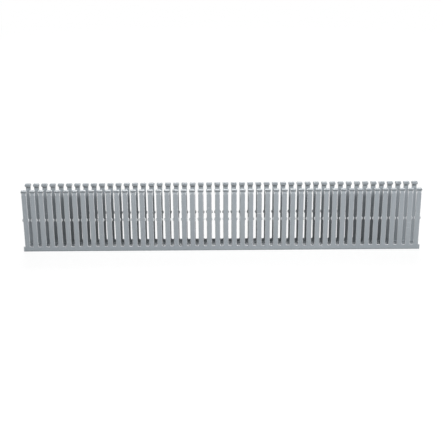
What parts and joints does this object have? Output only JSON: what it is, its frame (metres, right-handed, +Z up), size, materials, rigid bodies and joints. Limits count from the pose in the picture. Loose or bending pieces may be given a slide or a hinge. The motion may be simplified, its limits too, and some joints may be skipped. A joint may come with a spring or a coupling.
{
  "type": "slotted wire duct",
  "caption": "Open-topped plastic wire duct: a long narrow channel with T-headed fingers and narrow slots down both sides, and fixing holes in its floor.",
  "frame": {"origin": "middle of the underside, on the plane the duct is fixed to", "axes": "+X along the duct, +Y across it from one wall to the other, +Z up from the floor to the open top"},
  "size_m": [0.48, 0.034, 0.0778],
  "materials": {
    "grey_pvc": "smooth rigid PVC, light bluish grey, satin to matt"
  },
  "bodies": {
    "root": {"slotted_duct": "grey_pvc"}
  },
  "joints": []
}
